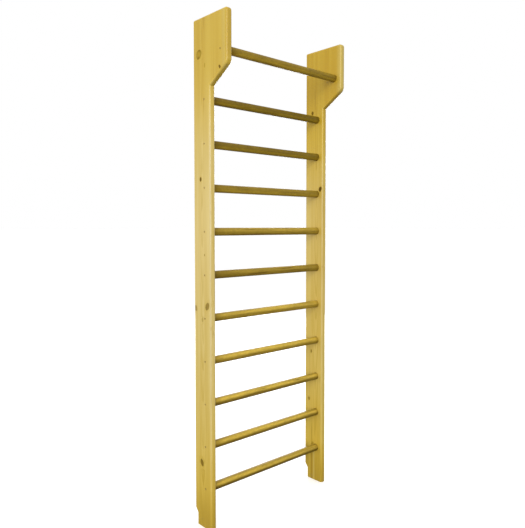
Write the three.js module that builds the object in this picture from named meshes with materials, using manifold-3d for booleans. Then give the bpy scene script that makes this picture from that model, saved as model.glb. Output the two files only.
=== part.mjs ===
// Swedish wall bars: two upright pine stiles joined by round rungs.
// Millimetres, +Z up. The front looks along -Y, the wall is on the +Y side, and the origin
// lies on the floor under the middle of the frame.

import * as THREE from 'three';
import { mergeVertices } from 'three/addons/utils/BufferGeometryUtils.js';
import Module from 'manifold-3d';

const wasm = await Module();
wasm.setup();

// Overall sizes
const FRAME_HEIGHT = 2400;
const FRAME_WIDTH = 800;

// Stiles: boards set on edge, each with a head that stands forward at the top
const STILE_THICKNESS = 32;
const STILE_DEPTH = 122;
const HEAD_REACH = 126;
const HEAD_FRONT_HEIGHT = 242;
const HEAD_SLOPE_DROP = 80;
const HEAD_LOWER_RADIUS = 36;
const HEAD_TOP_FRONT_RADIUS = 16;
const HEAD_TOP_BACK_RADIUS = 5;
const FRONT_EDGE_RADIUS = 10;

// Notch at the back of each foot, which clears a skirting board
const NOTCH_DEPTH = 18;
const NOTCH_UPRIGHT = 56;
const NOTCH_SLOPE_RISE = 22;

// Rungs, evenly spaced in height; the top one sits forward in the heads
const RUNG_COUNT = 11;
const RUNG_DIAMETER = 38;
const LOWEST_RUNG_HEIGHT = 190;
const TOP_RUNG_DROP = 174;
const RUNG_SETBACK = 44;
const TOP_RUNG_SETBACK = 48;

// Blind sockets for the rung ends: the wood left behind each one, and the fit around the rung
const SOCKET_WEB = 12;
const SOCKET_CLEARANCE = 0.3;

// Countersunk wood screws, one through each stile into each rung end
const SCREW_LENGTH = 60;
const SCREW_SHANK_DIAMETER = 4.5;
const SCREW_HEAD_DIAMETER = 9;
const SCREW_RIM = 0.5;
const SCREW_POINT = 8;
const SCREW_SINK = 0.8;
const SCREW_CLEARANCE = 0.3;
const RECESS_SPAN = 4.4;
const RECESS_WIDTH = 1.1;
const RECESS_DEPTH = 1.6;

// Fineness of round shapes
const RUNG_FACETS = 24;
const SCREW_FACETS = 12;
const EDGE_STEPS = 4;
const CORNER_STEPS = 6;

// How far a cutting shape runs past the surface that it cuts
const OVERCUT = 20;

// Places worked out from the sizes above
const wallY = (STILE_DEPTH + HEAD_REACH) / 2;
const stileFrontY = wallY - STILE_DEPTH;
const headFrontY = stileFrontY - HEAD_REACH;
const headCornerZ = FRAME_HEIGHT - HEAD_FRONT_HEIGHT;
const slopeFootZ = headCornerZ - HEAD_SLOPE_DROP;
const rungPitch = (FRAME_HEIGHT - TOP_RUNG_DROP - LOWEST_RUNG_HEIGHT) / (RUNG_COUNT - 1);
const rungLength = FRAME_WIDTH - 2 * (SOCKET_WEB + SOCKET_CLEARANCE);
const screwConeEnd = SCREW_RIM + (SCREW_HEAD_DIAMETER - SCREW_SHANK_DIAMETER) / 2;

// Materials: pale yellow lacquered pine, browner rungs, yellow plated steel
const pine = () => new THREE.MeshStandardMaterial({ color: 0xcdb45a, roughness: 0.45, metalness: 0 });
const rungWood = () => new THREE.MeshStandardMaterial({ color: 0xb4963c, roughness: 0.4, metalness: 0 });
const steel = () => new THREE.MeshStandardMaterial({ color: 0x8a6a30, roughness: 0.5, metalness: 0.8 });

// A closed geometry as a solid that can be cut
function toSolid(geometry) {
  const bare = geometry.clone();
  bare.deleteAttribute('normal');
  bare.deleteAttribute('uv');
  const merged = mergeVertices(bare);
  const triVerts = [];
  for (let i = 0; i < merged.index.count; i += 3) {
    const corners = [0, 1, 2].map((k) => merged.index.getX(i + k));
    if (new Set(corners).size === 3) triVerts.push(...corners);
  }
  return new wasm.Manifold(new wasm.Mesh({
    numProp: 3,
    vertProperties: new Float32Array(merged.attributes.position.array),
    triVerts: new Uint32Array(triVerts),
  }));
}

// A solid back as a geometry
function toGeometry(solid) {
  const mesh = solid.getMesh();
  const geometry = new THREE.BufferGeometry();
  geometry.setAttribute('position', new THREE.BufferAttribute(mesh.vertProperties, 3));
  geometry.setIndex(new THREE.BufferAttribute(mesh.triVerts, 1));
  geometry.computeVertexNormals();
  return geometry;
}

// A piece turned about the X axis from [distance along X, radius] pairs
function turned(profile, facets) {
  const points = profile.map(([along, radius]) => new THREE.Vector2(radius, along));
  return new THREE.LatheGeometry(points, facets).rotateZ(-Math.PI / 2);
}

// An outline in the upright plane (Y, Z), spread along X by the given settings
function upright(outline, settings) {
  const axes = new THREE.Matrix4().makeBasis(
    new THREE.Vector3(0, 1, 0),
    new THREE.Vector3(0, 0, 1),
    new THREE.Vector3(1, 0, 0),
  );
  return new THREE.ExtrudeGeometry(outline, settings).applyMatrix4(axes);
}

// Carries an outline round one corner on an arc that touches both straight runs
function roundCorner(outline, before, corner, after, radius) {
  const back = before.clone().sub(corner).normalize();
  const ahead = after.clone().sub(corner).normalize();
  const halfAngle = back.angleTo(ahead) / 2;
  const inward = back.clone().add(ahead).normalize();
  const centre = corner.clone().addScaledVector(inward, radius / Math.sin(halfAngle));
  const reach = radius / Math.tan(halfAngle);
  const start = corner.clone().addScaledVector(back, reach).sub(centre);
  const end = corner.clone().addScaledVector(ahead, reach).sub(centre);
  const clockwise = back.cross(ahead) > 0;
  outline.absarc(centre.x, centre.y, radius, start.angle(), end.angle(), clockwise);
}

// The board as the router leaves it: front and top edges rounded, the other sides still oversize
function routedBoard() {
  const stileFoot = new THREE.Vector2(stileFrontY, -OVERCUT);
  const slopeFoot = new THREE.Vector2(stileFrontY, slopeFootZ);
  const headCorner = new THREE.Vector2(headFrontY, headCornerZ);
  const headTop = new THREE.Vector2(headFrontY, FRAME_HEIGHT);
  const topBack = new THREE.Vector2(wallY + OVERCUT, FRAME_HEIGHT);
  const outline = new THREE.Shape();
  outline.moveTo(stileFoot.x, stileFoot.y);
  outline.lineTo(slopeFoot.x, slopeFoot.y);
  roundCorner(outline, slopeFoot, headCorner, headTop, HEAD_LOWER_RADIUS);
  roundCorner(outline, headCorner, headTop, topBack, HEAD_TOP_FRONT_RADIUS);
  outline.lineTo(topBack.x, topBack.y);
  outline.lineTo(topBack.x, stileFoot.y);
  const flatWidth = STILE_THICKNESS - 2 * FRONT_EDGE_RADIUS;
  return upright(outline, {
    depth: flatWidth,
    bevelThickness: FRONT_EDGE_RADIUS,
    bevelSize: FRONT_EDGE_RADIUS,
    bevelOffset: -FRONT_EDGE_RADIUS,
    bevelSegments: EDGE_STEPS,
    curveSegments: CORNER_STEPS,
  }).translate(-flatWidth / 2, 0, 0);
}

// What the saw leaves: square foot with its notch, and a straight wall edge eased at the top
function sawnOutline() {
  const notchY = wallY - NOTCH_DEPTH;
  const wallTop = new THREE.Vector2(wallY, FRAME_HEIGHT);
  const topAhead = new THREE.Vector2(headFrontY, FRAME_HEIGHT);
  const notchTop = new THREE.Vector2(wallY, NOTCH_UPRIGHT + NOTCH_SLOPE_RISE);
  const outline = new THREE.Shape();
  outline.moveTo(headFrontY - OVERCUT, 0);
  outline.lineTo(notchY, 0);
  outline.lineTo(notchY, NOTCH_UPRIGHT);
  outline.lineTo(notchTop.x, notchTop.y);
  roundCorner(outline, notchTop, wallTop, topAhead, HEAD_TOP_BACK_RADIUS);
  outline.lineTo(headFrontY - OVERCUT, FRAME_HEIGHT + OVERCUT);
  const width = STILE_THICKNESS + 2 * OVERCUT;
  return upright(outline, { depth: width, bevelEnabled: false, curveSegments: CORNER_STEPS })
    .translate(-width / 2, 0, 0);
}

// Wood taken out for one rung end, measured inwards from the stile's outer face
function socketCutter() {
  const radius = RUNG_DIAMETER / 2 + SOCKET_CLEARANCE;
  const mouth = STILE_THICKNESS + OVERCUT;
  return turned([[SOCKET_WEB, 0], [SOCKET_WEB, radius], [mouth, radius], [mouth, 0]], RUNG_FACETS);
}

// Wood taken out for one screw, measured inwards from the stile's outer face
function screwHoleCutter() {
  const headRadius = SCREW_HEAD_DIAMETER / 2 + SCREW_CLEARANCE;
  const shankRadius = SCREW_SHANK_DIAMETER / 2 + SCREW_CLEARANCE;
  return turned([
    [-OVERCUT, 0],
    [-OVERCUT, headRadius],
    [SCREW_SINK + SCREW_RIM, headRadius],
    [SCREW_SINK + screwConeEnd, shankRadius],
    [SOCKET_WEB + OVERCUT, shankRadius],
    [SOCKET_WEB + OVERCUT, 0],
  ], SCREW_FACETS);
}

// One stile, centred on its thickness; side is -1 for the left one and 1 for the right one
function makeStile(side, rungPlaces) {
  let board = toSolid(routedBoard()).intersect(toSolid(sawnOutline()));
  for (const { y, z } of rungPlaces) {
    for (const cutter of [socketCutter(), screwHoleCutter()]) {
      const turn = side > 0 ? Math.PI : 0;
      const placed = cutter.rotateZ(turn).translate(side * STILE_THICKNESS / 2, y, z);
      board = board.subtract(toSolid(placed));
    }
  }
  return toGeometry(board);
}

// One rung, centred on its length, with a pilot hole for a screw in each end
function makeRung() {
  const end = rungLength / 2;
  const radius = RUNG_DIAMETER / 2;
  const holeRadius = SCREW_SHANK_DIAMETER / 2 + SCREW_CLEARANCE;
  const holeTip = FRAME_WIDTH / 2 - SCREW_SINK - SCREW_LENGTH - SCREW_CLEARANCE;
  const holeShoulder = holeTip + SCREW_POINT;
  const half = [[holeTip, 0], [holeShoulder, holeRadius], [end, holeRadius], [end, radius]];
  const mirrored = half.map(([along, r]) => [-along, r]);
  return toGeometry(toSolid(turned([...mirrored, ...half.reverse()], RUNG_FACETS)));
}

// One screw, its head at X = 0 and its point along +X, with a cross recess in the head
function makeScrew() {
  const headRadius = SCREW_HEAD_DIAMETER / 2;
  const shankRadius = SCREW_SHANK_DIAMETER / 2;
  let screw = toSolid(turned([
    [0, 0],
    [0, headRadius],
    [SCREW_RIM, headRadius],
    [screwConeEnd, shankRadius],
    [SCREW_LENGTH - SCREW_POINT, shankRadius],
    [SCREW_LENGTH, 0],
  ], SCREW_FACETS));
  for (const [wide, tall] of [[RECESS_SPAN, RECESS_WIDTH], [RECESS_WIDTH, RECESS_SPAN]]) {
    screw = screw.subtract(toSolid(new THREE.BoxGeometry(2 * RECESS_DEPTH, wide, tall)));
  }
  return toGeometry(screw);
}

// Height and depth of each rung's axis, from the lowest up
function rungPlace(index) {
  const isTop = index === RUNG_COUNT - 1;
  return {
    y: isTop ? headFrontY + TOP_RUNG_SETBACK : stileFrontY + RUNG_SETBACK,
    z: LOWEST_RUNG_HEIGHT + index * rungPitch,
  };
}

// The assembly
const wallBars = new THREE.Group();

function addPiece(name, geometry, material) {
  const mesh = new THREE.Mesh(geometry, material);
  mesh.name = name;
  wallBars.add(mesh);
  return mesh;
}

const rungPlaces = Array.from({ length: RUNG_COUNT }, (_, index) => rungPlace(index));
const sides = [{ label: 'left', side: -1 }, { label: 'right', side: 1 }];

for (const { label, side } of sides) {
  const stile = addPiece(`${label}_stile`, makeStile(side, rungPlaces), pine());
  stile.position.x = side * (FRAME_WIDTH - STILE_THICKNESS) / 2;
}

rungPlaces.forEach(({ y, z }, index) => {
  const number = String(index + 1).padStart(2, '0');
  addPiece(`rung_${number}`, makeRung(), rungWood()).position.set(0, y, z);
  for (const { label, side } of sides) {
    const screw = addPiece(`${label}_screw_${number}`, makeScrew(), steel());
    screw.position.set(side * (FRAME_WIDTH / 2 - SCREW_SINK), y, z);
    screw.rotation.z = side > 0 ? Math.PI : 0;
  }
});

export default wallBars;
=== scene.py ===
# %% [markdown]
# # Swedish wall bars
# Wall bars are a climbing frame for gym exercise: two upright boards, the stiles, carry eleven
# round rungs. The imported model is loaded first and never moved. It is the fixed frame that says
# where every piece is, so the pieces below are made in place, in metres, and nothing has to be
# fitted afterwards.

# %% Load the frame
import math

import bmesh
import bpy
from mathutils import Matrix, Vector


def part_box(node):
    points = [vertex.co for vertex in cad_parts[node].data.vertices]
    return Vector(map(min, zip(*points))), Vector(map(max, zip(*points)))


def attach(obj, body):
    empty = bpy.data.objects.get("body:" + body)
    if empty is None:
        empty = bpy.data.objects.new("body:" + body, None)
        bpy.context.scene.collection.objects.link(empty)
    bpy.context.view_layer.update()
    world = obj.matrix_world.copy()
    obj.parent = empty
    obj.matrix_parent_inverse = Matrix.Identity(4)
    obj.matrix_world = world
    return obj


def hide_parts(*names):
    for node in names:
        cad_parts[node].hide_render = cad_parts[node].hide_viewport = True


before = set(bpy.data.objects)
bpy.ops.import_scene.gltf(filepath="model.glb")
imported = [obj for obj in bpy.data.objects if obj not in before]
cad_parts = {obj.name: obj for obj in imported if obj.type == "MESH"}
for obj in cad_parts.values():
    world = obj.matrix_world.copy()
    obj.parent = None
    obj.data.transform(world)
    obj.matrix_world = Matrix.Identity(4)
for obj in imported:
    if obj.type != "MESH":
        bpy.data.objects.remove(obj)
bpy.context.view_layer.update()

# %% [markdown]
# ## Sizes
# A joiner measures the old piece before making a new one. Most sizes can be read from the boxes
# of the nodes: the boards' thickness, the height and depth of each rung, how far a screw head is
# sunk. The slanted head, the notch at the foot and the inside of a socket don't show in a box, so
# their sizes are named further down, where they are cut.

# %% Measure the stiles
ON_FLOOR = 0.0005

left_low, left_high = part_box("left_stile")
right_low, right_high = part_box("right_stile")
STILE_THICKNESS = left_high.x - left_low.x
WALL_Y = left_high.y
HEAD_FRONT_Y = left_low.y
TOP_Z = left_high.z

left_points = [vertex.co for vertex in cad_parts["left_stile"].data.vertices]
foot_depths = [point.y for point in left_points if point.z < ON_FLOOR]
STILE_FRONT_Y = min(foot_depths)
NOTCH_Y = max(foot_depths)
print(f"stiles are {STILE_THICKNESS:.3f} m thick; their front face is at y {STILE_FRONT_Y:.3f} m")

# %% Measure the rungs and the screws
rung_names = sorted(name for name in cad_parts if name.startswith("rung_"))


def middle(name):
    """The middle of a node's box."""
    low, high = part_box(name)
    return (low + high) / 2


rung_low, rung_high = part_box(rung_names[0])
RUNG_LENGTH = rung_high.x - rung_low.x
RUNG_RADIUS = (rung_high.z - rung_low.z) / 2

screw_low, screw_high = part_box("left_screw_01")
SCREW_SINK = screw_low.x - left_low.x
SCREW_LENGTH = screw_high.x - screw_low.x
SCREW_HEAD_RADIUS = (screw_high.z - screw_low.z) / 2
print(f"{len(rung_names)} rungs, {2 * RUNG_RADIUS:.3f} m thick and {RUNG_LENGTH:.4f} m long")

# %% [markdown]
# ## Camera
# The frame is seen from its left, by someone about three metres away with the lens at chest
# height. How the rungs and stiles narrow with distance gives the lens and the place. A focal
# length in pixels becomes one in millimetres through the sensor's size and the picture's long
# side, and a small shift lets the optical axis sit a little above the picture's middle. A camera
# that isn't turned looks straight down, so a quarter turn comes first to make it look level.

# %% Set the camera
PICTURE_WIDTH, PICTURE_HEIGHT = 525, 528
PICTURE_SIDE = max(PICTURE_WIDTH, PICTURE_HEIGHT)
FOCAL_PIXELS = 565.9
AXIS_ROW = 250.9
SENSOR_MM = 36.0
CAMERA_PLACE = (-1.967, -2.090, 1.437)
CAMERA_TURN = math.radians(42.12)
CAMERA_NOD = math.radians(-2.48)
QUARTER_TURN = math.pi / 2


def in_scene(name, data):
    """A new object in the scene that shows a mesh, a lamp or a camera."""
    made = bpy.data.objects.new(name, data)
    bpy.context.scene.collection.objects.link(made)
    return made


camera = in_scene("camera", bpy.data.cameras.new("camera"))
camera.data.sensor_width = SENSOR_MM
camera.data.lens = SENSOR_MM * FOCAL_PIXELS / PICTURE_SIDE
camera.data.shift_y = (AXIS_ROW - PICTURE_HEIGHT / 2) / PICTURE_SIDE
camera.location = CAMERA_PLACE
camera.rotation_euler = (QUARTER_TURN + CAMERA_NOD, 0, -CAMERA_TURN)
bpy.context.scene.camera = camera
print(f"lens {camera.data.lens:.1f} mm, shift {camera.data.shift_y:.4f}")

# %% [markdown]
# ## Sums in a shader
# Blender's materials are graphs of nodes, and a graph of sums is hard to read. A small class
# wraps a socket, so that an expression such as `1 - mask * 0.5` adds the Math nodes by itself.
# Every other node comes from its one method, `node`, which takes the type, the settings, and what
# goes into the sockets. Colours and vectors pass through Mix and Vector Math nodes, since a Math
# node would turn them grey.


# %% A wire through a finish
def pick(sockets, key):
    """The socket with that number, or the socket in use with that name."""
    if isinstance(key, int):
        return sockets[key]
    return next(socket for socket in sockets if socket.enabled and socket.name == key)


class Wire:
    """A value on its way through the nodes of one finish."""

    def __init__(self, tree, socket=None):
        self.tree = tree
        self.socket = socket

    def node(self, kind, settings, sockets, output=0):
        """Adds a node, sets it up, fills its sockets, and gives back one output or several."""
        made = self.tree.nodes.new(kind)
        for setting, value in settings.items():
            setattr(made, setting, value)
        for key, value in sockets.items():
            if isinstance(value, Wire):
                self.tree.links.new(value.socket, pick(made.inputs, key))
            else:
                pick(made.inputs, key).default_value = value
        if isinstance(output, tuple):
            return tuple(Wire(self.tree, pick(made.outputs, key)) for key in output)
        return Wire(self.tree, pick(made.outputs, output))

    def math(self, operation, *values):
        return self.node("ShaderNodeMath", {"operation": operation}, dict(enumerate(values)))

    def __add__(self, other):
        return self.math("ADD", self, other)

    def __sub__(self, other):
        return self.math("SUBTRACT", self, other)

    def __rsub__(self, other):
        return self.math("SUBTRACT", other, self)

    def __mul__(self, other):
        return self.math("MULTIPLY", self, other)

    def __truediv__(self, other):
        return self.math("DIVIDE", self, other)

    def __rtruediv__(self, other):
        return self.math("DIVIDE", other, self)

    __radd__ = __add__
    __rmul__ = __mul__


print("a wire takes + - * / with a wire or a number on either side")

# %% [markdown]
# ## Masks and noise
# A finish is built from masks: values from 0 to 1 that say where a colour shows. Wear has no hard
# borders, so a mask rises softly from one value to another. What differs from place to place in
# wood is noise, stretched along the grain. Each noise is moved by a seed of its own, so that no
# two pieces look alike and every run still gives the same picture. A finish starts from the point
# on the piece itself, in metres, so the grain keeps its real size, and it ends in one shader.


# %% Soft steps
def rise(wire, low, high):
    """0 below low, 1 above high, with a soft rise between them."""
    sockets = {"Value": wire, "From Min": low, "From Max": high}
    return wire.node("ShaderNodeMapRange", {"interpolation_type": "SMOOTHSTEP"}, sockets)


def fall(wire, low, high):
    """1 below low, 0 above high, with a soft fall between them."""
    return 1 - rise(wire, low, high)


def bell(wire, width):
    """1 where the wire is 0, and falling off on both sides over that width."""
    return fall(wire.math("ABSOLUTE", wire), 0.0, width)


def larger(wire, other):
    """Whichever of two values is larger, so that overlapping masks don't add up."""
    return wire.math("MAXIMUM", wire, other)


def distance(across, along):
    """How far a point is from the middle, by its distances along two axes."""
    return across.math("SQRT", across * across + along * along)


print("steps on values:", [step.__name__ for step in (rise, fall, bell, larger, distance)])


# %% Colours over colours
def blend(mask, under, over):
    """Lays one colour over another where the mask is 1."""
    settings = {"data_type": "RGBA", "blend_type": "MIX", "clamp_factor": True}
    return mask.node("ShaderNodeMix", settings, {"Factor": mask, "A": under, "B": over}, "Result")


def layered(colour, layers):
    """Lays on one coat after another, each with the mask that says where it shows."""
    for mask, coat in layers:
        colour = blend(mask, colour, coat)
    return colour


def times(colour, tint):
    """Multiplies a colour by another colour."""
    return colour.node("ShaderNodeVectorMath", {"operation": "MULTIPLY"}, {0: colour, 1: tint})


print("steps on colours:", [step.__name__ for step in (blend, layered, times)])

# %% Soft noise
NOISE_MIDDLE = 0.5


def cloud(spot, stretch, seed, detail):
    """Noise around 0; stretch is how many patches fit in a metre along each axis."""
    sockets = {0: spot, 1: stretch, 2: (seed, seed, seed)}
    place = spot.node("ShaderNodeVectorMath", {"operation": "MULTIPLY_ADD"}, sockets)
    sockets = {"Vector": place, "Scale": 1.0, "Detail": detail}
    return spot.node("ShaderNodeTexNoise", {}, sockets, "Fac") - NOISE_MIDDLE


def clouds(spot, table, seed):
    """A cloud for each row of a table, which holds the stretch along X, Y and Z and the detail."""
    return [cloud(spot, stretch, seed + k, detail) for k, (*stretch, detail) in enumerate(table)]


print("clouds lie around 0, because", NOISE_MIDDLE, "is taken off")


# %% Start and close a finish
def split(spot):
    """A point or a direction as three wires."""
    return spot.node("ShaderNodeSeparateXYZ", {}, {"Vector": spot}, ("X", "Y", "Z"))


def facing(spot):
    """The way the surface looks: how much to the right, to the back and up."""
    return split(spot.node("ShaderNodeNewGeometry", {}, {}, "Normal"))


def start_finish(name):
    """A new material with an empty graph, and the point on the piece as its first wire."""
    material = bpy.data.materials.new(name)
    material.use_nodes = True
    material.node_tree.nodes.clear()
    return material, Wire(material.node_tree).node("ShaderNodeTexCoord", {}, {}, "Object")


def close_finish(wire, constants, colour, roughness, height, relief):
    """One shader: what varies is linked, and what is the same all over is set on its socket."""
    bump = wire.node("ShaderNodeBump", {}, {"Height": height, "Distance": relief}, "Normal")
    sockets = {**constants, "Base Color": colour, "Roughness": roughness, "Normal": bump}
    shader = wire.node("ShaderNodeBsdfPrincipled", {}, sockets, "BSDF")
    wire.node("ShaderNodeOutputMaterial", {}, {"Surface": shader}, ())


print("a finish starts from the point on the piece and ends in one shader")

# %% [markdown]
# ## Growth rings and knots
# The stiles are pine planks under a clear satin lacquer. A painted-on grain would stop at the
# edges, so the wood is worked out in three dimensions, as it grew: rings round a pith line that
# runs beside the board, each ring pale at first and amber at its end. A cut through those rings
# gives straight lines on one face, arches on another and curved end grain at the top and foot, all
# from the same sum. A knot is a branch that goes through the board, so it is an oval in the broad
# face, with a dark rim of bark, and the rings swell around it.

# %% Growth rings
RING_WIDTH = 0.0042
PITH_DRIFT = 0.022
PITH_SWAY = 0.016
RING_WAVER = 0.004
# parts of one ring: over the first span it darkens, and over the second it turns pale again
LATEWOOD_RISE = (0.3, 0.9)
LATEWOOD_END = (0.93, 1.0)
FAINTEST_RING = 0.45


def growth_rings(along, across_a, across_b, sway, waver, swell):
    """Latewood, 0 to 1, of wood that grew along one axis; the two others start at the pith."""
    swaying_a = across_a + along * PITH_DRIFT + sway * PITH_SWAY
    swaying_b = across_b + sway * PITH_SWAY
    ring = (distance(swaying_a, swaying_b) + swell + waver * RING_WAVER) / RING_WIDTH
    part = ring.math("FRACT", ring)
    year = ring.math("FLOOR", ring)
    settings = {"noise_dimensions": "1D"}
    chance = year.node("ShaderNodeTexWhiteNoise", settings, {"W": year}, "Value")
    strength = FAINTEST_RING + (1 - FAINTEST_RING) * chance
    return rise(part, *LATEWOOD_RISE) * fall(part, *LATEWOOD_END) * strength


print(f"rings are {RING_WIDTH * 1000:.1f} mm wide")

# %% Knots
# distances from the middle of a knot, in its own half sizes
KNOT_HEART = (0.7, 1.05)
KNOT_RIM = 0.95
KNOT_RIM_WIDTH = 0.3
KNOT_NEAR = (0.6, 2.6)
RIM_STRENGTH = 0.8
RIM_UNEVEN = 2.0
KNOT_SWELL = 0.55


def knot_masks(y, z, knots, unevenness):
    """Heart, rim and halo of all knots, and how far they push the rings aside."""
    heart = rim = halo = swell = 0.0
    rim_strength = RIM_STRENGTH + unevenness * RIM_UNEVEN
    for from_front, height, half_width, half_height, lean, core, bark in knots:
        up = z - height
        across = (y - up * lean - (STILE_FRONT_Y + from_front)) / half_width
        away = distance(across, up / half_height) + unevenness
        near = fall(away, *KNOT_NEAR)
        heart = larger(fall(away, *KNOT_HEART) * core, heart)
        rim = larger(bell(away - KNOT_RIM, KNOT_RIM_WIDTH) * bark * rim_strength, rim)
        halo = larger(near * core, halo)
        swell = swell + near * (KNOT_SWELL * half_width)
    return heart, rim, halo, swell


print("a knot pushes the rings aside out to", KNOT_NEAR[1], "times its size")

# %% Single streaks
STREAK_FADE = 0.06


def single_streaks(y, z, streaks):
    """Lines along the board that fade out at both ends."""
    mask = 0.0
    for from_front, low, high, half_width, strength in streaks:
        across = bell(y - (STILE_FRONT_Y + from_front), half_width)
        along = rise(z, low, low + STREAK_FADE) * fall(z, high - STREAK_FADE, high)
        mask = larger(across * along * strength, mask)
    return mask


print(f"a streak fades out over {STREAK_FADE * 1000:.0f} mm")

# %% [markdown]
# ## Pine under satin lacquer
# New pine is pale straw yellow, with amber latewood. Lacquer deepens the colour and adds a soft
# sheen, which is a thin clear coat on the shader. Long pale and dark streaks come from noise that
# is stretched along the board, and thin resin lines from a finer one. Light and shade are partly
# painted into the colour: a paler band in the middle height of the board is a painted sheen, the
# rounded edges carry a painted highlight, and the head and the foot are darker with painted shade.
# Shoes scuff the foot, and a knot is too dense to take the lacquer, so it stays dull. The finish is
# built up like paint: a ground of early and late wood, then one coat after another, each with its
# own mask.

# %% Pine colours and noises
STRAW = (0.620, 0.430, 0.046, 1)
AMBER = (0.490, 0.320, 0.018, 1)
# paler tones for the middle height of a board: a painted sheen of light
SHEEN_STRAW = (0.650, 0.500, 0.165, 1)
SHEEN_AMBER = (0.560, 0.410, 0.090, 1)
PALE_TINT = (1.055, 1.075, 1.190, 1)
HONEY_TINT = (0.955, 0.915, 0.730, 1)
# pale sapwood, also used for a painted highlight on the left head
SAPWOOD_AND_HIGHLIGHT = (0.600, 0.470, 0.130, 1)
RESIN = (0.330, 0.190, 0.008, 1)
KNOT_BROWN = (0.120, 0.062, 0.003, 1)
KNOT_DARK = (0.040, 0.017, 0.001, 1)
# a painted highlight on the rounded edges, strongest where the painted sheen lies
EDGE_HIGHLIGHT = (0.568, 0.460, 0.220, 1)
# painted shade that darkens the foot near the floor
FOOT_SHADE = (0.400, 0.255, 0.020, 1)
SCUFF_GREY = (0.260, 0.200, 0.090, 1)

PINE_CLOUDS = [
    (0, 0, 0.9, 2),  # sway of the pith
    (55, 55, 1.6, 2),  # waver of the rings
    (34, 34, 0.8, 3),  # long streaks
    (7, 7, 1.5, 2),  # broad patches
    (1100, 1100, 16, 2),  # fibres
    (90, 90, 60, 2),  # uneven outline of the knots
    (70, 70, 40, 4),  # scuffs
    (130, 130, 1.2, 2),  # resin lines
    (45, 45, 26, 3),  # dents
]
print("pine mixes", len(PINE_CLOUDS), "kinds of noise")

# %% Wear and painted light on a board
# from where a mask is 0 to where it is 1: first by the way a surface looks, then by noise
EDGE_TURN = (0.0, 0.8)
UPWARD_TURN = (0.1, 0.4)
FORWARD_TURN = (0.3, 0.9)
DENT_NOISE = (0.10, 0.24)
SCUFF_NOISE = (0.0, 0.25)
FOOT_SHADE_HEIGHT = 0.25
SCUFF_HEIGHT = 0.07


def board_wear_and_light(spot, z, patch, dents, scuffs, sheen_strength, sheen_heights, foot_shade_strength):
    """Masks of the rounded edges, the painted sheen in the middle, the painted shade at the foot,
    the dents and the scuffs.
    """
    side, backward, upward = facing(spot)
    # 1 where a surface looks halfway between sideways and straight on, as a rounded edge does
    slanted = 4 * side * side * (1 - side * side)
    edge = rise(slanted, *EDGE_TURN) * fall(upward, *UPWARD_TURN)
    start, full, fade, end = sheen_heights
    # painted sheen: the board is paler in its middle height
    mid_sheen = sheen_strength * rise(z, start, full) * fall(z, fade, end)
    # painted shade: darker towards the floor, patchy
    foot_shade = fall(z, 0.0, FOOT_SHADE_HEIGHT) * (foot_shade_strength + patch)
    dented = rise(0 - backward, *FORWARD_TURN) * rise(dents, *DENT_NOISE)
    scuffed = fall(z, 0.0, SCUFF_HEIGHT) * rise(scuffs, *SCUFF_NOISE)
    return edge, mid_sheen, foot_shade, dented, scuffed


print(f"grime reaches {FOOT_SHADE_HEIGHT:.2f} m up a stile, and scuffs {SCUFF_HEIGHT:.2f} m")

# %% How strongly each trait of the pine shows
# where a noise or a height starts to count, and where it counts in full
RESIN_NOISE = (0.12, 0.30)
TINT_NOISE = (-0.18, 0.18)
# heights where the painted shade of the head starts and is full
HEAD_SHADE_HEIGHTS = (1.85, 2.25)
STREAK_WAVER = 0.006
PATCH_SHARE = 0.5

# how much of the wood a coat hides where its mask is full
LATE_COVER = 0.9
HEAD_SHADE_COVER = 0.6
# how strongly the painted highlight shows on the rounded edges, and how much more with the painted
# sheen
EDGE_HIGHLIGHT_COVER = 0.06
SHEEN_EDGE_COVER = 0.7
RESIN_COVER = 0.35
DENT_COVER = 0.3
HALO_COVER = 0.5
SCUFF_COVER = 0.5

# roughness all over, what each trait adds to it or takes away, and the height of the grain
PINE_ROUGH = 0.46
FIBRE_ROUGH, STREAK_ROUGH, SCUFF_ROUGH, KNOT_ROUGH = 0.16, 0.12, 0.2, 0.2
EDGE_SMOOTH = 0.06
FIBRE_HEIGHT, LATE_HEIGHT, RIM_DEPTH = 0.35, 0.25, 0.6
PINE_RELIEF = 0.0004

# the clear coat, and how dark a knot is where it has lost that coat
LACQUER = {"Specular IOR Level": 0.1, "Coat Roughness": 0.3, "Coat IOR": 1.5}
LACQUER_WEIGHT = 0.5
DULL_KNOT = (0.0, 0.3)
print(f"lacquer covers {LACQUER_WEIGHT:.0%}, and the grain stands {PINE_RELIEF * 1000:.1f} mm high")


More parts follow.
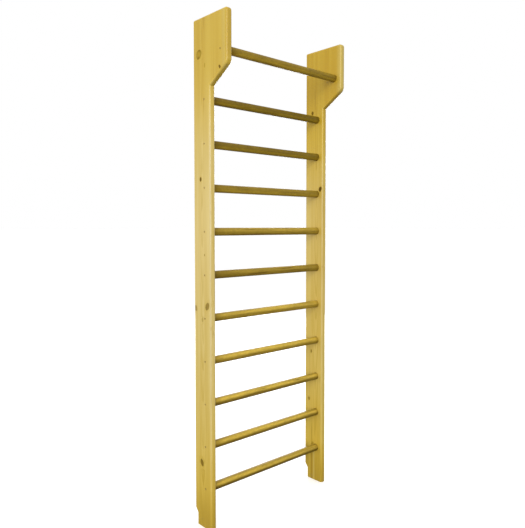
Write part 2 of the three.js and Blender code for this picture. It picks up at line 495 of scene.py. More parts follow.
# %% The pine finish
def pine_finish(name, pith, knots, resin_lines, sap_and_highlight_lines, head_shade, sheen_strength, sheen_heights, foot_shade_strength, seed):
    """Lacquered pine that grew round its own pith, with its own knots, streaks, wear and painted
    light and shade.
    """
    material, spot = start_finish(name)
    x, y, z = split(spot)
    noises = clouds(spot, PINE_CLOUDS, seed)
    sway, waver, streak, patch, fibre, unevenness, scuffs, resin, dents = noises
    heart, rim, halo, swell = knot_masks(y, z, knots, unevenness)
    late = growth_rings(z, x - pith[0], y - pith[1], sway, waver, swell)
    wear_and_light = board_wear_and_light(spot, z, patch, dents, scuffs, sheen_strength, sheen_heights, foot_shade_strength)
    edge, mid_sheen, foot_shade, dented, scuffed = wear_and_light
    swaying_y = y + waver * STREAK_WAVER

    # the ground turns paler where the painted sheen lies
    early_tone = blend(mid_sheen, STRAW, SHEEN_STRAW)
    late_tone = blend(mid_sheen, AMBER, SHEEN_AMBER)
    ground = blend(late * LATE_COVER, early_tone, late_tone)
    # painted shade: darker towards the head
    ground = blend(rise(z, *HEAD_SHADE_HEIGHTS) * HEAD_SHADE_COVER, ground, head_shade)
    tint = blend(rise(streak + patch * PATCH_SHARE, *TINT_NOISE), PALE_TINT, HONEY_TINT)
    colour = layered(times(ground, tint), [
        # pale rounded edges: a painted highlight
        (edge * (EDGE_HIGHLIGHT_COVER + mid_sheen * SHEEN_EDGE_COVER), EDGE_HIGHLIGHT),
        # painted shade at the foot
        (foot_shade, FOOT_SHADE),
        (rise(resin, *RESIN_NOISE) * RESIN_COVER + dented * DENT_COVER, RESIN),
        # sapwood streaks, and a painted highlight along the left head's front edge
        (single_streaks(swaying_y, z, sap_and_highlight_lines), SAPWOOD_AND_HIGHLIGHT),
        (single_streaks(swaying_y, z, resin_lines), RESIN),
        (halo * HALO_COVER, AMBER),
        (heart, KNOT_BROWN),
        (rim, KNOT_DARK),
        (scuffed * SCUFF_COVER, SCUFF_GREY),
    ])
    roughness = (PINE_ROUGH + fibre * FIBRE_ROUGH + streak * STREAK_ROUGH - edge * EDGE_SMOOTH
                 + scuffed * SCUFF_ROUGH + heart * KNOT_ROUGH)
    height = fibre * FIBRE_HEIGHT + late * LATE_HEIGHT - rim * RIM_DEPTH
    sheen = LACQUER_WEIGHT * fall(heart + rim, *DULL_KNOT)
    close_finish(spot, {**LACQUER, "Coat Weight": sheen}, colour, roughness, height, PINE_RELIEF)
    return material


print("the pine finish is ready for its knots and streaks")

# %% [markdown]
# ## Two boards, two patterns
# No two boards have the same knots, so each stile gets its own short lists. A place on a board is
# given as a joiner would mark it, by the distance from its front face and the height above the
# floor. The head stands forward of that face, so what lies in front of it has a negative
# distance. An end of a streak that lies past the board means that it runs out over its edge.

# %% The knots of each board
# from the front face, height, half width, half height, lean, darkness of the heart and of the rim
LEFT_KNOTS = [
    (0.082, 2.234, 0.018, 0.020, -0.10, 0.27, 0.48),
    (0.087, 2.218, 0.007, 0.008, 0.00, 0.48, 0.28),
    (0.077, 2.249, 0.009, 0.006, 0.00, 0.48, 0.28),
    (-0.075, 2.147, 0.006, 0.008, 0.30, 0.85, 0.85),
    (0.037, 2.176, 0.004, 0.010, 0.00, 0.25, 0.25),
    (0.072, 1.656, 0.006, 0.010, 0.00, 0.90, 0.90),
    (0.044, 1.303, 0.003, 0.005, 0.00, 0.50, 0.50),
    (0.024, 1.064, 0.013, 0.017, -0.33, 0.58, 0.58),
    (0.114, 1.048, 0.008, 0.014, 0.10, 0.45, 0.45),
    (0.062, 0.997, 0.006, 0.010, 0.00, 0.30, 0.30),
    (0.070, 0.311, 0.011, 0.016, 0.25, 0.75, 0.75),
]
RIGHT_KNOTS = [
    (0.076, 2.064, 0.007, 0.010, 0.00, 0.85, 0.85),
    (0.017, 1.642, 0.009, 0.013, -0.15, 1.00, 1.00),
    (0.079, 0.732, 0.004, 0.009, 0.00, 0.70, 0.70),
    (0.095, 0.458, 0.007, 0.009, 0.00, 0.55, 0.55),
    (0.066, 0.201, 0.008, 0.014, 0.00, 0.40, 0.40),
]
print(len(LEFT_KNOTS), "knots on the left board and", len(RIGHT_KNOTS), "on the right one")

# %% The streaks of each board
# from the front face, lower end, upper end, half width, strength
LEFT_RESIN = [
    (-0.126, 2.145, 2.470, 0.016, 0.38),
    (0.043, 2.315, 2.445, 0.005, 0.45),
    (0.046, 1.935, 2.055, 0.005, 0.40),
]
RIGHT_RESIN = [
    (0.057, 2.045, 2.215, 0.006, 0.45),
    (0.074, -0.100, 0.340, 0.007, 0.50),
    (0.073, -0.100, 0.200, 0.012, 0.80),
    (0.110, -0.100, 0.230, 0.030, 0.40),
    (0.042, -0.100, 0.110, 0.006, 0.50),
]
# a pale band near the head's front edge: a painted highlight drawn as a streak
LEFT_HEAD_EDGE_HIGHLIGHT = [(-0.102, 2.035, 2.470, 0.020, 0.40)]
RIGHT_SAP = [
    (-0.126, 2.005, 2.470, 0.040, 0.60),
    (0.000, 0.185, 0.865, 0.014, 0.35),
    (0.057, -0.100, 0.210, 0.010, 0.50),
]
print(len(LEFT_RESIN + LEFT_HEAD_EDGE_HIGHLIGHT), "streaks on the left and", len(RIGHT_RESIN + RIGHT_SAP), "right")

# %% Both pine finishes
# the pith: a little to the right of the board, and behind its front face
LEFT_PITH = (left_high.x + 0.030, STILE_FRONT_Y + 0.060)
RIGHT_PITH = (right_high.x + 0.024, STILE_FRONT_Y + 0.045)
# darker tones at the head of each board: painted shade
LEFT_HEAD_SHADE = (0.520, 0.350, 0.038, 1)
RIGHT_HEAD_SHADE = (0.460, 0.286, 0.010, 1)
# heights where the painted sheen, the paler band of the board, starts, is full, begins to fade and
# ends
LEFT_SHEEN_HEIGHTS = (-0.15, 1.00, 1.70, 2.25)
RIGHT_SHEEN_HEIGHTS = (-0.05, 0.85, 1.55, 1.95)

left_pine = pine_finish("left_pine", LEFT_PITH, LEFT_KNOTS, LEFT_RESIN, LEFT_HEAD_EDGE_HIGHLIGHT, LEFT_HEAD_SHADE,
                        sheen_strength=1.0, sheen_heights=LEFT_SHEEN_HEIGHTS, foot_shade_strength=0.5, seed=3.0)
right_pine = pine_finish("right_pine", RIGHT_PITH, RIGHT_KNOTS, RIGHT_RESIN, RIGHT_SAP, RIGHT_HEAD_SHADE,
                         sheen_strength=0.6, sheen_heights=RIGHT_SHEEN_HEIGHTS, foot_shade_strength=0.6, seed=41.0)
print("pine finishes hold", [len(m.node_tree.nodes) for m in (left_pine, right_pine)], "nodes")

# %% [markdown]
# ## Mesh helpers
# A stile starts as a board cut to an outline, and a rung or a screw starts on a lathe. Both are
# quick to build point by point: an outline swept across the board's thickness, and a profile spun
# round the X axis. Arcs are worked out from the corner they round, so an outline lists only its
# corners.

# %% Outlines and boards
ARC_STEPS = 8


def rounded(before, corner, after, radius):
    """Points of the arc that rounds one corner of an outline."""
    before, corner, after = Vector(before), Vector(corner), Vector(after)
    back = (before - corner).normalized()
    ahead = (after - corner).normalized()
    half = back.angle(ahead) / 2
    centre = corner + (back + ahead).normalized() * (radius / math.sin(half))
    start = corner + back * (radius / math.tan(half)) - centre
    sweep = math.copysign(math.pi - 2 * half, ahead.cross(back))
    turns = [Matrix.Rotation(sweep * step / ARC_STEPS, 2) for step in range(ARC_STEPS + 1)]
    return [centre + turn @ start for turn in turns]


def prism(near_outline, far_outline):
    """A closed shape between two outlines; returns its mesh and its two rows of points."""
    mesh = bmesh.new()
    near = [mesh.verts.new(point) for point in near_outline]
    far = [mesh.verts.new(point) for point in far_outline]
    for k in range(len(near)):
        after = (k + 1) % len(near)
        mesh.faces.new([near[k], near[after], far[after], far[k]])
    mesh.faces.new(near)
    mesh.faces.new(far)
    bmesh.ops.recalc_face_normals(mesh, faces=mesh.faces)
    return mesh, (near, far)


def board(outline, low_x, high_x):
    """A board with that outline in Y and Z."""
    near, far = [[(x, y, z) for y, z in outline] for x in (low_x, high_x)]
    return prism(near, far)


print("a rounded corner has", len(rounded((0, 1), (0, 0), (1, 0), 0.1)), "points")


# %% Turned shapes
def turned(mesh, profile, facets, place=(0, 0, 0), flip=1):
    """Spins (distance along X, radius) pairs round the X axis; a radius of 0 closes the end."""
    rings = []
    for along, radius in profile:
        count = facets if radius > 0 else 1
        angles = [2 * math.pi * k / facets for k in range(count)]
        points = [(flip * along, radius * math.cos(a), radius * math.sin(a)) for a in angles]
        rings.append([mesh.verts.new(Vector(place) + Vector(point)) for point in points])
    faces = []
    for ring, following in zip(rings, rings[1:]):
        for k in range(facets):
            corners = [ring[k % len(ring)], ring[(k + 1) % len(ring)]]
            corners += [following[(k + 1) % len(following)], following[k % len(following)]]
            faces.append(mesh.faces.new(list(dict.fromkeys(corners))))
    bmesh.ops.recalc_face_normals(mesh, faces=faces)


print("the lathe turns round the X axis")


# %% Pieces and cuts
def placed(name, mesh):
    """Turns a bmesh into an object in the scene."""
    data = bpy.data.meshes.new(name)
    mesh.to_mesh(data)
    mesh.free()
    return in_scene(name, data)


def settle(piece):
    """Applies a piece's modifiers to its mesh."""
    graph = bpy.context.evaluated_depsgraph_get()
    final = bpy.data.meshes.new_from_object(piece.evaluated_get(graph))
    piece.modifiers.clear()
    piece.data = final


def carve(piece, tool, operation):
    """Cuts a piece with a tool, or keeps what is inside it, and takes the tool away."""
    cut = piece.modifiers.new(tool.name, "BOOLEAN")
    cut.object, cut.operation, cut.solver = tool, operation, "EXACT"
    settle(piece)
    bpy.data.objects.remove(tool)


def dress(piece, finish):
    """Gives a piece one finish all over, with soft shading."""
    piece.data.materials.clear()
    piece.data.materials.append(finish)
    piece.data.shade_smooth()


print("the bench has:", [tool.__name__ for tool in (placed, settle, carve, dress)])

# %% [markdown]
# ## Stiles
# On the bench a stile is made in this order, and so it is here. A plank is cut to the front line,
# with the head that stands forward, and a router rounds its front and top edges. A saw trims the
# foot with its notch and the wall edge, which stay crisp. Then a stepped drill goes in from the
# outer face: a countersink for the screw head, a thin hole, and from the other side the blind
# socket for the rung. A bevel on so few edges can be made in bmesh directly, and the Boolean
# modifier does the sawing and drilling. A hairline bevel at the end eases the sawn edges, as
# sandpaper does, so that they catch the light.

# %% The routed plank
HEAD_FRONT_HEIGHT = 0.242
HEAD_SLOPE_DROP = 0.080
HEAD_CORNER_Z = TOP_Z - HEAD_FRONT_HEIGHT
SLOPE_FOOT_Z = HEAD_CORNER_Z - HEAD_SLOPE_DROP
HEAD_LOWER_RADIUS = 0.036
HEAD_TOP_FRONT_RADIUS = 0.016
FRONT_EDGE_RADIUS = 0.010
ROUTER_STEPS = 10
ROUND_PROFILE = 0.5
SPARE = 0.02


def routed_plank(low_x, high_x):
    """A plank that is still too long at the foot and too deep at the wall."""
    foot = (STILE_FRONT_Y, -SPARE)
    slope_foot = (STILE_FRONT_Y, SLOPE_FOOT_Z)
    head_corner = (HEAD_FRONT_Y, HEAD_CORNER_Z)
    head_top = (HEAD_FRONT_Y, TOP_Z)
    top_back = (WALL_Y + SPARE, TOP_Z)
    routed = [foot, slope_foot]
    routed += rounded(slope_foot, head_corner, head_top, HEAD_LOWER_RADIUS)
    routed += rounded(head_corner, head_top, top_back, HEAD_TOP_FRONT_RADIUS)
    routed += [top_back]
    mesh, rows = board([*routed, (WALL_Y + SPARE, -SPARE)], low_x, high_x)
    pairs = [pair for row in rows for pair in zip(row[:len(routed)], row[1:len(routed)])]
    edges = [mesh.edges.get(pair) for pair in pairs]
    bmesh.ops.bevel(mesh, geom=edges, offset=FRONT_EDGE_RADIUS, offset_type="OFFSET",
                    affect="EDGES", segments=ROUTER_STEPS, profile=ROUND_PROFILE,
                    clamp_overlap=False)
    return mesh


print(f"the head stands {STILE_FRONT_Y - HEAD_FRONT_Y:.3f} m forward")

# %% The saw
HEAD_TOP_BACK_RADIUS = 0.005
NOTCH_UPRIGHT = 0.056
NOTCH_SLOPE_RISE = 0.022


def saw_shape(low_x, high_x):
    """What the saw leaves of a plank: all that is above the foot and in front of the wall."""
    wall_top, top_ahead = (WALL_Y, TOP_Z), (HEAD_FRONT_Y, TOP_Z)
    notch_top = (WALL_Y, NOTCH_UPRIGHT + NOTCH_SLOPE_RISE)
    outline = [(HEAD_FRONT_Y - SPARE, 0), (NOTCH_Y, 0), (NOTCH_Y, NOTCH_UPRIGHT), notch_top]
    outline += rounded(notch_top, wall_top, top_ahead, HEAD_TOP_BACK_RADIUS)
    outline += [(HEAD_FRONT_Y - SPARE, TOP_Z + SPARE)]
    return board(outline, low_x - SPARE, high_x + SPARE)[0]


print(f"the notch at the foot is {WALL_Y - NOTCH_Y:.3f} m deep")

# %% The drill
FIT_GAP = 0.0003
SOCKET_WEB = 0.012
SOCKET_FACETS = 64
SCREW_SHANK_RADIUS = 0.00225
SCREW_RIM = 0.0005


def stepped_drill(outer_x, inward):
    """What all holes of one stile take away, from its outer face inward."""
    head, shank = SCREW_HEAD_RADIUS + FIT_GAP, SCREW_SHANK_RADIUS + FIT_GAP
    cone = SCREW_SINK + SCREW_RIM
    socket, mouth = RUNG_RADIUS + FIT_GAP, STILE_THICKNESS + SPARE
    profile = [(-SPARE, 0), (-SPARE, head), (cone, head), (cone + head - shank, shank)]
    profile += [(SOCKET_WEB, shank), (SOCKET_WEB, socket), (mouth, socket), (mouth, 0)]
    mesh = bmesh.new()
    for name in rung_names:
        place = (outer_x, middle(name).y, middle(name).z)
        turned(mesh, profile, SOCKET_FACETS, place, inward)
    return mesh


print(f"a socket is {STILE_THICKNESS - SOCKET_WEB:.3f} m deep")

# %% Both stiles
EASE = 0.0006
EASE_STEPS = 2
EASE_ANGLE = math.radians(40)


def make_stile(name, low_x, high_x, outer_x, inward, finish):
    """Cuts, saws, drills and sands one stile, and puts it in the place of its node."""
    stile = placed(f"{name}_board", routed_plank(low_x, high_x))
    carve(stile, placed("saw", saw_shape(low_x, high_x)), "INTERSECT")
    carve(stile, placed("drill", stepped_drill(outer_x, inward)), "DIFFERENCE")
    ease = stile.modifiers.new("sanded edges", "BEVEL")
    ease.width, ease.segments = EASE, EASE_STEPS
    ease.limit_method, ease.angle_limit = "ANGLE", EASE_ANGLE
    ease.use_clamp_overlap = False
    settle(stile)
    dress(stile, finish)
    stile.modifiers.new("flat faces stay flat", "WEIGHTED_NORMAL").keep_sharp = True
    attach(stile, "root")
    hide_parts(name)
    print(stile.name, "has", len(stile.data.polygons), "faces")


make_stile("left_stile", left_low.x, left_high.x, left_low.x, 1, left_pine)
make_stile("right_stile", right_low.x, right_high.x, right_high.x, -1, right_pine)

# %% [markdown]
# ## Rung finish
# The rungs are turned dowels of a denser, browner wood than the stiles, oiled by many hands. The
# same growth rings serve, but along the rung and with the pith beside it, so that the lines run
# its whole length. No two dowels are alike: each has its own tone, and some came from darker
# heartwood. Light and shade are partly painted into the colour, following the way the surface
# looks: a painted highlight on the upper side of the lower rungs, painted light on the undersides
# of the high ones, and painted shade on the left half, which the left stile keeps from the light,
# and by both sockets.

# %% Rung colours and noises
DOWEL_LIGHT = (0.345, 0.230, 0.024, 1)
DOWEL_DARK = (0.270, 0.170, 0.012, 1)
# dark lines of pores and veins, also used for the painted shade by the sockets
DOWEL_LINE_AND_SHADE = (0.140, 0.080, 0.005, 1)
# heartwood tone, also used for the painted shadow on the left half
HEARTWOOD_AND_SHADOW = (0.150, 0.096, 0.005, 1)
# a painted highlight: light from above on the upper side of a rung
TOP_HIGHLIGHT = (0.585, 0.402, 0.056, 1)

RUNG_CLOUDS = [
    (1.6, 0, 0, 2),  # sway of the pith
    (3, 70, 70, 2),  # waver of the rings
    (2.2, 60, 60, 3),  # long streaks
    (18, 1200, 1200, 2),  # fibres
    (26, 420, 420, 2),  # pores
    (9, 45, 45, 3),  # mottle
    (4, 110, 110, 3),  # veins
    (70, 150, 150, 2),  # speckle
]
print("rung wood mixes", len(RUNG_CLOUDS), "kinds of noise")

# %% How strongly each trait of a rung shows
# where a noise or a place along the rung starts to count, and where it counts in full
PORE_NOISE = (0.14, 0.24)
VEIN_NOISE = (0.06, 0.20)
DARK_STREAK_NOISE = (-0.1, 0.3)
INNER_HALF = right_low.x
# where the painted shade by the left and the right socket is full and where it ends
LEFT_SOCKET_SHADE = (-INNER_HALF, -0.28)
RIGHT_SOCKET_SHADE = (0.34, INNER_HALF)
LEFT_HALF = (-INNER_HALF, 0.0)
# the way the surface looks: up to 1 and down to -1
UPPER_SIDE = (-0.2, 0.52)
CREST = (0.7, 1.0)
LOWER_SIDE = (0.0, 0.6)

# how much of the wood a coat hides, and how far it is shaded
DOWEL_LATE_COVER, DARK_STREAK_COVER = 0.55, 0.35
HEART_STREAKS = 0.4
CREST_LOSS = 0.5
TOP_HIGHLIGHT_COVER = 0.85
MOTTLE = 0.6
PORE_COVER = 0.45
SOCKET_SHADE_COVER = 0.35

# roughness all over, what each trait adds to it, the height of the grain, and the oil
DOWEL_ROUGH = 0.44
DOWEL_STREAK_ROUGH, SOCKET_ROUGH = 0.1, 0.1
DOWEL_FIBRE_HEIGHT, DOWEL_LATE_HEIGHT, PORE_DEPTH = 0.4, 0.2, 0.4
DOWEL_RELIEF = 0.0003
OIL = {"Specular IOR Level": 0.12, "Coat Weight": 0.05, "Coat Roughness": 0.35, "Coat IOR": 1.45}
print(f"a rung's grain stands {DOWEL_RELIEF * 1000:.1f} mm high")


# %% The rung finish
def rung_finish(name, heartwood, top_highlight, underside_light, left_shadow_depth, veined, pith, seed):
    """Oiled dowel wood, with painted light on its upper side and underside and painted shade on its
    left half and by the sockets.
    """
    material, spot = start_finish(name)
    x, y, z = split(spot)
    noises = clouds(spot, RUNG_CLOUDS, seed)
    sway, waver, streak, fibre, pores, mottle, veins, speckle = noises
    late = growth_rings(x, y - pith[0], z - pith[1], sway, waver, 0.0)
    pored = rise(pores, *PORE_NOISE)
    # painted shade near both sockets, where the rung meets a stile; wider on the left
    socket_shade = fall(x, *LEFT_SOCKET_SHADE) + rise(x, *RIGHT_SOCKET_SHADE)
    # painted shadow of the left stile, darkest at the left end and gone by the middle
    left_shadow = left_shadow_depth * fall(x, *LEFT_HALF)
    dark = heartwood + left_shadow + streak * (HEART_STREAKS * heartwood)
    upward = facing(spot)[2]
    upper_side = rise(upward, *UPPER_SIDE) * (1 - CREST_LOSS * rise(upward, *CREST))
    lower_side = rise(0 - upward, *LOWER_SIDE)

    dark_streaks = rise(streak, *DARK_STREAK_NOISE)
    lines = late * DOWEL_LATE_COVER + dark_streaks * DARK_STREAK_COVER
    colour = layered(blend(lines, DOWEL_LIGHT, DOWEL_DARK), [
        (dark, HEARTWOOD_AND_SHADOW),
        # painted highlight on the upper side, weaker at the very top and in the painted shadow
        (upper_side * top_highlight * (1 - left_shadow) * (TOP_HIGHLIGHT_COVER + streak), TOP_HIGHLIGHT),
    ])
    # painted light below: brightens the underside by the rung's own factor; the mottle is the
    # wood's own
    underside_light_and_mottle = (1 + lower_side * (underside_light - 1)) * (1 + (mottle + speckle) * MOTTLE)
    sockets = {0: colour, "Scale": underside_light_and_mottle}
    colour = layered(colour.node("ShaderNodeVectorMath", {"operation": "SCALE"}, sockets), [
        (pored * PORE_COVER + rise(veins, *VEIN_NOISE) * veined, DOWEL_LINE_AND_SHADE),
        (socket_shade * SOCKET_SHADE_COVER, DOWEL_LINE_AND_SHADE),
    ])
    roughness = (DOWEL_ROUGH + fibre * FIBRE_ROUGH + streak * DOWEL_STREAK_ROUGH
                 + socket_shade * SOCKET_ROUGH)
    height = fibre * DOWEL_FIBRE_HEIGHT + late * DOWEL_LATE_HEIGHT - pored * PORE_DEPTH
    close_finish(spot, OIL, colour, roughness, height, DOWEL_RELIEF)
    return material


print("the rung finish is ready; each rung gets its own")

# %% [markdown]
# ## Rungs
# A rung is a long dowel with softened end edges and a pilot hole for a screw in each end. It is
# one profile on the lathe, with enough facets to stay round in a close view. The table has a line
# for each rung, from the floor up. The pith lies beside the rung, in a direction that turns by
# the same angle from each rung to the next, so that no two show the same lines.

# %% The rung on the lathe
RUNG_FACETS = 72
END_EASE = 0.001
END_ANGLES = [math.radians(angle) for angle in (60, 30, 0)]
SCREW_POINT = 0.008
screw_tip_x = right_high.x - SCREW_SINK - SCREW_LENGTH - FIT_GAP


def rung_mesh():
    """A dowel along X; its profile goes from one pilot hole over the outside to the other."""
    pilot, end = SCREW_SHANK_RADIUS + FIT_GAP, RUNG_LENGTH / 2
    half = [(screw_tip_x, 0), (screw_tip_x + SCREW_POINT, pilot)]
    half += [(end, pilot), (end, RUNG_RADIUS - END_EASE)]
    half += [(end - END_EASE * (1 - math.sin(a)), RUNG_RADIUS - END_EASE * (1 - math.cos(a)))
             for a in END_ANGLES]
    mesh = bmesh.new()
    turned(mesh, [(-along, radius) for along, radius in half] + half[::-1], RUNG_FACETS)
    return mesh


print(f"a pilot hole is {RUNG_LENGTH / 2 - screw_tip_x:.3f} m deep")

# %% All rungs
# share of heartwood, strength of the painted highlight on the upper side, how much painted light
# brightens the underside, how dark the painted shadow on the left half is, how strongly it is
# veined
RUNG_LOOKS = [
    (0.95, 1.0, 1.00, 0.00, 0.4),
    (0.62, 1.0, 1.00, 0.00, 0.5),
    (0.55, 1.0, 1.00, 0.00, 0.9),
    (0.05, 1.0, 1.00, 0.00, 0.5),
    (0.00, 1.0, 1.15, 0.40, 0.6),
    (0.30, 0.2, 1.00, 0.35, 0.9),
    (0.00, 0.5, 1.00, 0.10, 0.6),
    (0.30, 0.0, 1.45, 0.00, 0.6),
    (0.74, 0.0, 1.65, 0.00, 0.5),
    (0.84, 0.0, 1.55, 0.00, 0.5),
    (0.38, 0.0, 1.50, 0.00, 0.5),
]
PITH_BESIDE = 0.034
PITH_TURN = 2.4
SEED_STEP = 5.0

for number, (name, looks) in enumerate(zip(rung_names, RUNG_LOOKS), start=1):
    rung = placed(f"{name}_dowel", rung_mesh())
    rung.location = middle(name)
    turn = PITH_TURN * number
    pith = (PITH_BESIDE * math.cos(turn), PITH_BESIDE * math.sin(turn))
    dress(rung, rung_finish(f"{name}_wood", *looks, pith, SEED_STEP * number))
    rung.modifiers.new("flat ends stay flat", "WEIGHTED_NORMAL")
    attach(rung, "root")
    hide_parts(name)
print(len(rung_names), "rungs made")

# %% [markdown]
# ## Screws
# Each rung end is held by a countersunk wood screw, driven from the outer face until its head lies
# just under the surface. The head, the smooth shank and the threaded part are one lathe shape
# whose radius follows the thread, and a tapered cross is cut into the head. The steel is zinc
# plated with a yellow tint, dull with age, and rubbed brighter where the driver turned it. All
# screws share one mesh, since they came out of one box.

# %% The screw finish
DULL_ZINC = (0.420, 0.285, 0.080, 1)
BRIGHT_ZINC = (0.600, 0.470, 0.220, 1)
ZINC_GRAIN, ZINC_GRAIN_SEED = (2500, 2500, 2500), 2.0
DRIVER_MARKS, DRIVER_SEED = (700, 700, 700), 9.0
DRIVER_NOISE = (0.02, 0.2)
DRIVER_DEPTH = 0.0012
BRIGHT_COVER = 0.7
STEEL_ROUGH, GRAIN_ROUGH, BRIGHT_SMOOTH = 0.5, 0.3, 0.15
STEEL_RELIEF = 0.00005
STEEL = {"Metallic": 0.85}


def steel_finish():
    """Dull yellow zinc, bright in spots on the face of the head."""
    material, spot = start_finish("plated_steel")
    grain = cloud(spot, ZINC_GRAIN, ZINC_GRAIN_SEED, detail=3)
    marks = cloud(spot, DRIVER_MARKS, DRIVER_SEED, detail=2)
    bright = fall(split(spot)[0], 0.0, DRIVER_DEPTH) * rise(marks, *DRIVER_NOISE)
    colour = blend(bright * BRIGHT_COVER, DULL_ZINC, BRIGHT_ZINC)
    roughness = STEEL_ROUGH + grain * GRAIN_ROUGH - bright * BRIGHT_SMOOTH
    close_finish(spot, STEEL, colour, roughness, grain, STEEL_RELIEF)
    return material


plated_steel = steel_finish()
print("the steel finish holds", len(plated_steel.node_tree.nodes), "nodes")

# %% The threaded blank
SCREW_FACETS = 32
HEAD_FLAT = 0.9
RIM_EASE = 0.0001
THREAD_START = 0.026
THREAD_PITCH = 0.0024
THREAD_DEPTH = 0.0006
THREAD_STEPS = 6
THREAD_FLANK = 3


def screw_blank():
    """Head and shank on the lathe, then a thread whose ridge winds along the screw."""
    head, shank = SCREW_HEAD_RADIUS, SCREW_SHANK_RADIUS
    cone_end = SCREW_RIM + head - shank
    profile = [(0, 0), (0, head * HEAD_FLAT), (RIM_EASE, head), (SCREW_RIM, head)]
    profile += [(cone_end, shank), (THREAD_START, shank)]
    steps = round((SCREW_LENGTH - SCREW_POINT - THREAD_START) / THREAD_PITCH * THREAD_STEPS)
    step = THREAD_PITCH / THREAD_STEPS
    profile += [(THREAD_START + step * (k + 1), shank) for k in range(steps)]
    profile += [(SCREW_LENGTH - SCREW_POINT / 2, shank / 2), (SCREW_LENGTH, 0)]
    mesh = bmesh.new()
    turned(mesh, profile, SCREW_FACETS)
    for vert in mesh.verts:
        if vert.co.x > THREAD_START:
            around = math.atan2(vert.co.z, vert.co.y) / (2 * math.pi)
            turn = (vert.co.x / THREAD_PITCH - around) % 1
            groove = THREAD_DEPTH * min(1, abs(turn - 0.5) * THREAD_FLANK)
            keep = 1 - groove / shank
            vert.co.y, vert.co.z = vert.co.y * keep, vert.co.z * keep
    return mesh


print(f"the thread starts {THREAD_START:.3f} m behind the head and climbs {THREAD_PITCH} m a turn")

# %% The cross recess
RECESS_REACH = 0.0022
RECESS_HALF_WIDTH = 0.00055
RECESS_DEPTH = 0.0016
PUNCH_WIDE, PUNCH_NARROW = 1.3, 0.6


def cross_punch():
    """A tapered plus sign, about as wide as the recess where it meets the head's face."""
    corners = [(RECESS_REACH, -RECESS_HALF_WIDTH), (RECESS_REACH, RECESS_HALF_WIDTH),
               (RECESS_HALF_WIDTH, RECESS_HALF_WIDTH)]
    quarters = [Matrix.Rotation(quarter * QUARTER_TURN, 2) for quarter in range(4)]
    cross = [turn @ Vector(corner) for turn in quarters for corner in corners]
    ends = ((-RECESS_DEPTH, PUNCH_WIDE), (RECESS_DEPTH, PUNCH_NARROW))
    wide, narrow = [[(x, *(point * size)) for point in cross] for x, size in ends]
    return prism(wide, narrow)[0]


screw = placed("screw", screw_blank())
carve(screw, placed("punch", cross_punch()), "DIFFERENCE")
dress(screw, plated_steel)
screw_mesh = screw.data
bpy.data.objects.remove(screw)
print("one screw has", len(screw_mesh.polygons), "faces")

# %% All screws
DRIVEN_TURN = 0.7
screw_names = sorted(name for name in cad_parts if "_screw_" in name)
for number, name in enumerate(screw_names):
    low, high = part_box(name)
    on_left = name.startswith("left")
    driven = in_scene(f"{name}_steel", screw_mesh)
    driven.location = (low.x if on_left else high.x, middle(name).y, middle(name).z)
    driven.rotation_euler = (DRIVEN_TURN * number, 0, 0 if on_left else math.pi)
    driven.modifiers.new("crisp rims", "EDGE_SPLIT").split_angle = EASE_ANGLE
    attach(driven, "root")
    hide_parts(name)
print(len(screw_names), "screws driven")

# %% [markdown]
# ## Floor and light
# A plain pale floor and a white surround keep the eye on the wood. The surround lights the frame
# softly from above and is dimmer from below, and the floor throws no light back, so the undersides
# keep their shade. A large soft lamp to the left of the camera lights the faces that are seen, a
# weaker one behind on the left puts a sheen along the boards, and another behind on the right
# keeps the far sides from going dull. Area lights are used because their size sets how soft a
# shadow is.

# %% Floor
FLOOR_HALF = 300.0
FLOOR_PALE = (0.95, 0.95, 0.945, 1)
FLOOR_PALER = (0.97, 0.97, 0.965, 1)
WHITE = (1, 1, 1, 1)
FLOOR_GRAIN, FLOOR_SEED = (40, 40, 40), 1.0
FLOOR_NOISE = (-0.3, 0.3)
FLOOR_ROUGH, FLOOR_GRAIN_ROUGH = 0.7, 0.1
FLOOR_RELIEF = 0.0001
FLOOR_SHEEN = {"Specular IOR Level": 0.2, "Emission Color": WHITE, "Emission Strength": 0.22}


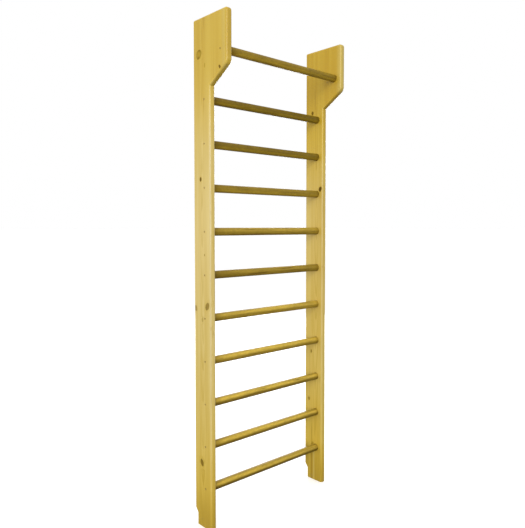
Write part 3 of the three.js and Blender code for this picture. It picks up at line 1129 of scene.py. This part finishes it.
def floor_finish():
    """Almost white, with a faint glow that keeps it as pale as the surround."""
    material, spot = start_finish("pale_floor")
    grain = cloud(spot, FLOOR_GRAIN, FLOOR_SEED, detail=3)
    colour = blend(rise(grain, *FLOOR_NOISE), FLOOR_PALE, FLOOR_PALER)
    roughness = FLOOR_ROUGH + grain * FLOOR_GRAIN_ROUGH
    close_finish(spot, FLOOR_SHEEN, colour, roughness, grain, FLOOR_RELIEF)
    return material


ground = bmesh.new()
bmesh.ops.create_grid(ground, x_segments=1, y_segments=1, size=FLOOR_HALF)
floor = placed("floor", ground)
floor.data.materials.append(floor_finish())
floor.visible_diffuse = floor.visible_glossy = False
print(f"the floor is {2 * FLOOR_HALF:.0f} m wide")

# %% Surround
SKY = 0.84
UNDERGLOW = 0.24
BACKDROP = 1.0
HORIZON = (-0.1, 0.0)

world = bpy.data.worlds.new("surround")
world.use_nodes = True
world.node_tree.nodes.clear()
bpy.context.scene.world = world
upward = split(Wire(world.node_tree).node("ShaderNodeTexCoord", {}, {}, "Generated"))[2]
light = UNDERGLOW + (SKY - UNDERGLOW) * rise(upward, *HORIZON)
seen = upward.node("ShaderNodeLightPath", {}, {}, "Is Camera Ray")
strength = light + seen * (BACKDROP - light)
glow = upward.node("ShaderNodeBackground", {}, {"Color": WHITE, "Strength": strength})
glow.node("ShaderNodeOutputWorld", {}, {"Surface": glow}, ())
bpy.context.scene.view_settings.view_transform = "Standard"
print(f"the surround is {SKY} bright above and {UNDERGLOW} below")

# %% Lamps
LIGHT_AIM = Vector((0, 0, TOP_Z / 2))
# name, place, side in metres, watts
LAMPS = [
    ("key lamp", (-5.0, -3.9, 2.8), 4.0, 300),
    ("window", (-5.1, 6.3, 1.2), 1.8, 30),
    ("fill", (5.0, 3.6, 2.2), 3.0, 210),
]

for name, place, side, watts in LAMPS:
    lamp = in_scene(name, bpy.data.lights.new(name, "AREA"))
    lamp.data.size, lamp.data.energy = side, watts
    lamp.location = place
    lamp.rotation_euler = (LIGHT_AIM - Vector(place)).to_track_quat("-Z", "Y").to_euler()
    lamp.visible_camera = False
